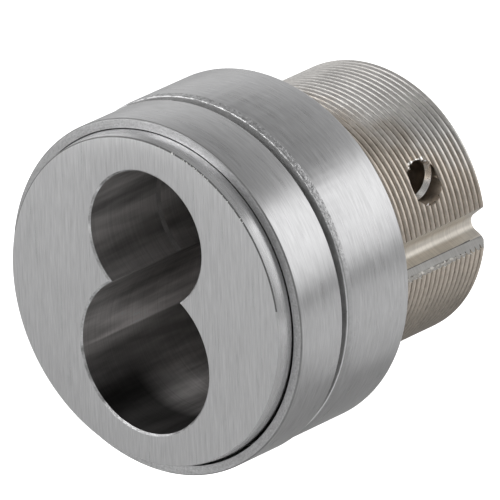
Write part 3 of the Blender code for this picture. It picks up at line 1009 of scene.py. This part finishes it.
def make_world():
    """The studio round the object: pale walls, a tall softbox behind on the right, a dark
    camera side and a fill in front on the left. Angles are in degrees, from +Y towards +X."""
    world = bpy.data.worlds.new("studio")
    bpy.context.scene.world = world
    world.use_nodes = True
    nodes = Nodes(world.node_tree)
    x, y, z = nodes.split(nodes.node("ShaderNodeTexCoord").outputs["Generated"])
    azimuth = nodes.times(nodes.math("ARCTAN2", x, y), 180 / math.pi)
    elevation = nodes.times(nodes.math("ARCSINE", z), 180 / math.pi)
    walls = nodes.ramp(elevation, 24, 46, WALL_LEVEL, CEILING_LEVEL, smooth=True)
    overhead = nodes.ramp(elevation, 60, 85, 0.0, 1.0, smooth=True)
    walls = nodes.blend(overhead, walls, TOP_LEVEL)
    towards_camera = nodes.math("SUBTRACT", nodes.times(x, 0.63), nodes.times(y, 0.776))
    dark = nodes.times(
        nodes.ramp(towards_camera, -0.05, 0.5, 0.0, 1.0, smooth=True),
        nodes.ramp(elevation, 62, 80, 1.0, 0.0, smooth=True),
    )
    level = nodes.blend(dark, walls, CAMERA_SIDE_LEVEL)
    top_edge = nodes.math("SUBTRACT", elevation, nodes.times(azimuth, SOFTBOX_SLANT))
    box = 1.0
    for value, low, high, out_low, out_high in (
        (azimuth, 4, 20, 0.0, 1.0), (azimuth, 56, 76, 1.0, 0.0),
        (elevation, -6, 16, 0.15, 1.0), (top_edge, 22, 29, 1.0, 0.0),
    ):
        box = nodes.times(nodes.ramp(value, low, high, out_low, out_high, smooth=True), box)
    level = nodes.blend(box, level, SOFTBOX_LEVEL)
    towards_fill = nodes.math("ADD", nodes.times(x, -0.73), nodes.times(y, -0.67))
    fill = nodes.ramp(towards_fill, 0.92, 0.985, 0.0, 1.0, smooth=True)
    level = nodes.blend(fill, level, FILL_LEVEL)
    seen = nodes.node("ShaderNodeLightPath").outputs["Is Camera Ray"]
    level = nodes.blend(seen, level, 1.0)
    background = world.node_tree.nodes["Background"]
    nodes.link(nodes.combine(level, level, level), background.inputs["Color"])


def area_lamp(name, width, height, radiance):
    data = bpy.data.lights.new(name, "AREA")
    data.shape = "RECTANGLE"
    data.size = width
    data.size_y = height
    data.energy = radiance * math.pi * width * height
    lamp = bpy.data.objects.new(name, data)
    bpy.context.scene.collection.objects.link(lamp)
    return lamp


def softbox(name, azimuth, elevation, distance, width, height, radiance):
    """A rectangular lamp aimed at the object; azimuth is measured from +Y towards +X."""
    az, el = math.radians(azimuth), math.radians(elevation)
    towards = Vector((math.sin(az) * math.cos(el), math.cos(az) * math.cos(el), math.sin(el)))
    place = distance * towards
    lamp = area_lamp(name, width, height, radiance)
    lamp.location = place
    lamp.rotation_euler = (-place).to_track_quat("-Z", "Y").to_euler()


def floor_card(name, middle, width, height, radiance):
    """A bright card lying just above the floor, out of the camera's sight, that lights upwards."""
    card = area_lamp(name, width, height, radiance)
    card.location = (middle[0], middle[1], FLOOR_Z + 0.0005)
    card.rotation_euler = (math.pi, 0, 0)
    card.visible_camera = False


make_camera()
make_world()
make_floor()
softbox("overhead", azimuth=-154, elevation=40, distance=1.3, width=0.8, height=0.5, radiance=3.8)
floor_card("floor_card", middle=(0.098, 0.1), width=0.15, height=0.14, radiance=0.29)

# Finishes that more than one piece uses
# Painted light: the rings' faces in the gap between them are lighter than the rings' metal,
# lifting the gap's shade
lightened_gap_face = worn_metal("lightened_gap_face", (0.62, 0.62, 0.62), 0.75)
cam_nickel = worn_metal("cam_nickel", (0.52, 0.49, 0.45), 0.32)
plain_steel = worn_metal("plain_steel", (0.42, 0.42, 0.43), 0.3)
bright_burr = worn_metal("bright_burr", (0.95, 0.945, 0.93), 0.5)

make_housing([
    brushed_face("face_brushed", (0.68, 0.68, 0.685), 0.3, contrast=0.17),
    # Painted reflection: dark finish for the face's edge
    worn_metal("head_rim_painted_reflection", (0.2, 0.2, 0.2), 0.4),
    turned_metal("head_side", (0.62, 0.62, 0.625), 0.26, marks=7000, contrast=0.16, stretch=0.5),
    thread_metal("thread_nickel", NICKEL, 0.36),
    # Painted highlight and painted reflection streaks on the bore's walls
    bored_metal("bore_wall", (0.4, 0.385, 0.38), 0.5, 0.9, streaks=0.35, painted_highlight=1.1),
    worn_metal("bore_rim", (0.66, 0.66, 0.665), 0.4, contrast=0.5, depth=30e-6),
    worn_metal("bore_step", (0.3, 0.29, 0.285), 0.6),
    bored_metal("groove_nickel", (0.66, 0.62, 0.56), 0.5, 0.4),
    # Painted shadow: the dark line along the groove's break
    worn_metal("groove_break_shadow", (0.14, 0.135, 0.13), 0.5),
    bored_metal("groove_ramp", (0.26, 0.255, 0.245), 0.42, 0.6),
    worn_metal("hole_wall", (0.62, 0.53, 0.44), 0.33, contrast=0.3),
    worn_metal("hole_ledge", (0.95, 0.93, 0.9), 0.25, contrast=0.05),
    worn_metal("rear_face", (0.52, 0.5, 0.47), 0.3),
])
make_compression_ring([
    turned_metal("ring_brushed", GREY, 0.3, marks=6500, contrast=0.19, centre_z=RING_Z),
    speckled_front("ring_front", (0.6, 0.6, 0.605), 0.34, RING_Z),
    lightened_gap_face,
    # Painted reflection: dark finish for the front outer edge
    worn_metal("ring_edge_painted_reflection", (0.33, 0.33, 0.33), 0.45),
])
make_blocking_ring([
    turned_metal("block_brushed", GREY, 0.3, marks=6500, contrast=0.19, centre_z=BLOCK_Z),
    rough_edge("torn_edge_lip_highlight", GREY),
    lightened_gap_face,
])
make_rolls(worn_metal("rolled_burr", (0.4, 0.385, 0.36), 0.35, scale=2500, contrast=0.25))

# Places of the small burrs, drawn in this order
dice = random.Random(3)
small_face = sorted(dice.uniform(42, 84) for _ in range(26))
small_groove = [
    0.0195 + 0.0117 * k / SMALL_GROOVE_BURRS + dice.uniform(-0.0001, 0.0001)
    for k in range(SMALL_GROOVE_BURRS)
]
small_ring = sorted(dice.uniform(-60, 150) for _ in range(110))

make_burrs("housing_burrs", "housing", (
    round_places(
        FACE_BURRS, r=HEAD_FACE_R - 0.7 * HEAD_EDGE, y=FACE_Y, centre_z=0,
        out_r=1, out_y=-0.3, size=0.0004,
    )
    + round_places(
        small_face, r=HEAD_FACE_R - 0.5 * HEAD_EDGE, y=FACE_Y, centre_z=0,
        out_r=1, out_y=-0.3, size=0.00014,
    )
    + groove_places(GROOVE_LOWER_EDGE, GROOVE_BURRS, size=0.00026)
    + groove_places(GROOVE_LOWER_EDGE, small_groove, size=0.00012)
    + groove_places(GROOVE_UPPER_EDGE, GROOVE_TOP_BURRS, size=0.00014)
    + hole_places(HOLE_BURRS, size=0.0003, inward=0.5)
), bright_burr)
make_burrs(
    "side_hole_burrs", "housing",
    hole_places(crest_turns(20, 175), size=0.0006, inward=1),
    worn_metal("hole_burr", (0.4, 0.355, 0.305), 0.4, scale=2500, contrast=0.3),
)
make_burrs("blocking_ring_burrs", "blocking_ring", (
    round_places(
        RING_BURRS, r=RING_R - 0.6 * LEAD_IN, y=block_low.y + 0.0003, centre_z=BLOCK_Z,
        out_r=1, out_y=-0.4, size=0.00026,
    )
    + round_places(
        small_ring, r=RING_R - LEAD_IN, y=block_low.y + 0.00008, centre_z=BLOCK_Z,
        out_r=0.7, out_y=-1, size=0.00011,
    )
), bright_burr)

dress("wave_spring", plain_steel)
dress("throw_member", cam_nickel)
dress("cam", cam_nickel)
for plain in ("throw_pin_1", "throw_pin_2", "cam_screw_1", "cam_screw_2"):
    dress(plain, plain_steel)

view = bpy.context.scene.view_settings
view.view_transform = "Standard"
